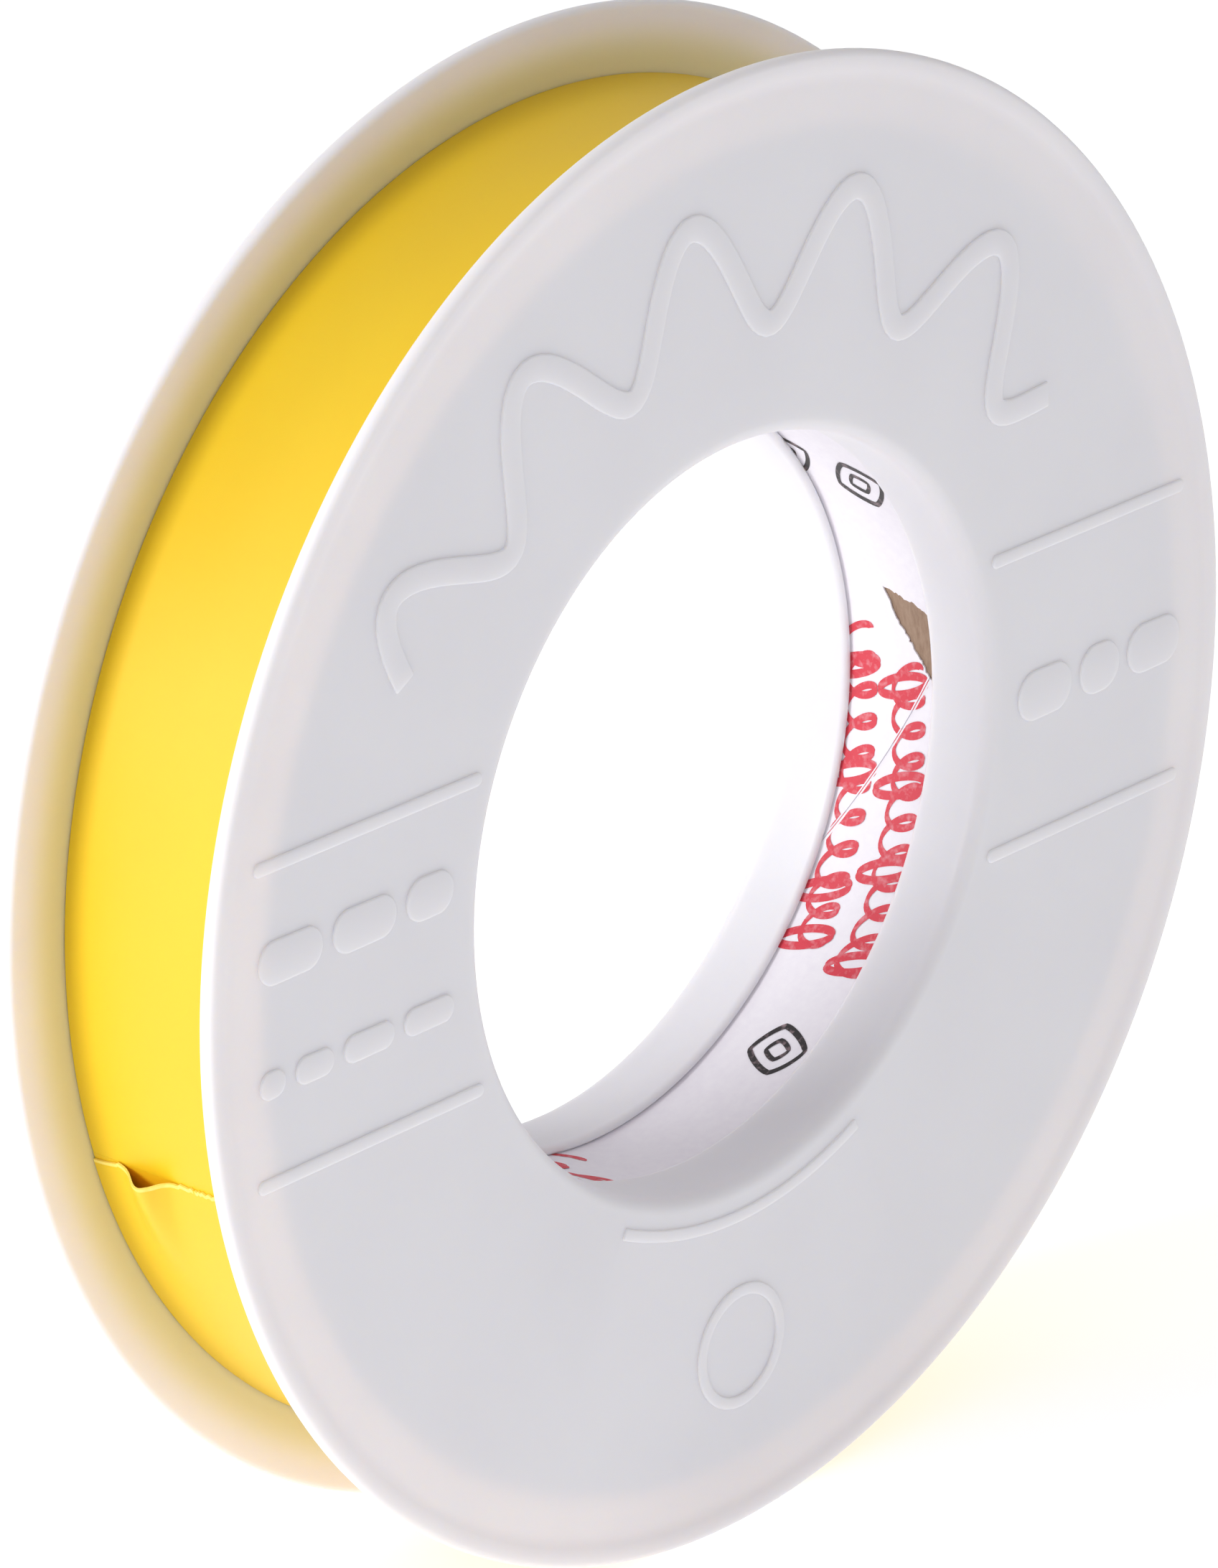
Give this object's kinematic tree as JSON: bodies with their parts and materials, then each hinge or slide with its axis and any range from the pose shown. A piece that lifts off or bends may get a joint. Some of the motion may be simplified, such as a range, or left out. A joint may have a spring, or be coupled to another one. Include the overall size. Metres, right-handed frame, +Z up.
{
  "type": "electrical tape roll",
  "caption": "Roll of yellow PVC insulating tape on a paper core, between two plug-in white side discs with rounded rims and an open spindle bore.",
  "frame": {"origin": "middle of the roll, on its axis, halfway between the two discs", "axes": "+Z is up with the roll standing on the rims of its discs. The roll's axis is Y, and the front disc faces -Y. +X is to the right when the front disc is looked at. The free end of the tape lies on the -X side, a little below the axis."},
  "size_m": [0.096, 0.0172, 0.096],
  "materials": {
    "disc_plastic": "satin",
    "tape_film": "satin",
    "tape_adhesive": "gloss",
    "printed_paper": "satin",
    "core_board": "matte"
  },
  "bodies": {
    "roll": {"core_liner": "printed_paper", "core_ply_inner": "core_board", "core_ply_middle": "core_board", "core_ply_outer": "core_board", "tape_winding": "tape_film", "tape_outer_turn": "tape_film", "tape_outer_turn_adhesive": "tape_adhesive"},
    "front_side": {"front_disc": "disc_plastic"},
    "rear_side": {"rear_disc": "disc_plastic"},
    "peel_1": {"tape_end_1": "tape_film", "tape_end_1_adhesive": "tape_adhesive"},
    "peel_2": {"tape_end_2": "tape_film", "tape_end_2_adhesive": "tape_adhesive"},
    "peel_3": {"tape_end_3": "tape_film", "tape_end_3_adhesive": "tape_adhesive"}
  },
  "joints": [
    {"name": "front_disc_pull", "type": "slide", "parent": "roll", "child": "front_side", "axis": [0, -1, 0], "range_m": [0, 0.008]},
    {"name": "rear_disc_pull", "type": "slide", "parent": "roll", "child": "rear_side", "axis": [0, 1, 0], "range_m": [0, 0.008]},
    {"name": "tape_peel", "type": "hinge", "parent": "roll", "child": "peel_1", "pos_m": [-0.02592, 0, -0.03503], "axis": [0, -1, 0], "range_deg": [0, 42]},
    {"name": "tape_bend_2", "type": "hinge", "parent": "peel_1", "child": "peel_2", "pos_m": [-0.03263, 0, -0.02887], "axis": [0, -1, 0], "range_deg": [0, 42]},
    {"name": "tape_bend_3", "type": "hinge", "parent": "peel_2", "child": "peel_3", "pos_m": [-0.03792, 0, -0.02146], "axis": [0, -1, 0], "range_deg": [0, 42]}
  ],
  "couplings": [
    {"joint": "tape_bend_2", "follows": "tape_peel", "ratio": 1},
    {"joint": "tape_bend_3", "follows": "tape_peel", "ratio": 1}
  ]
}
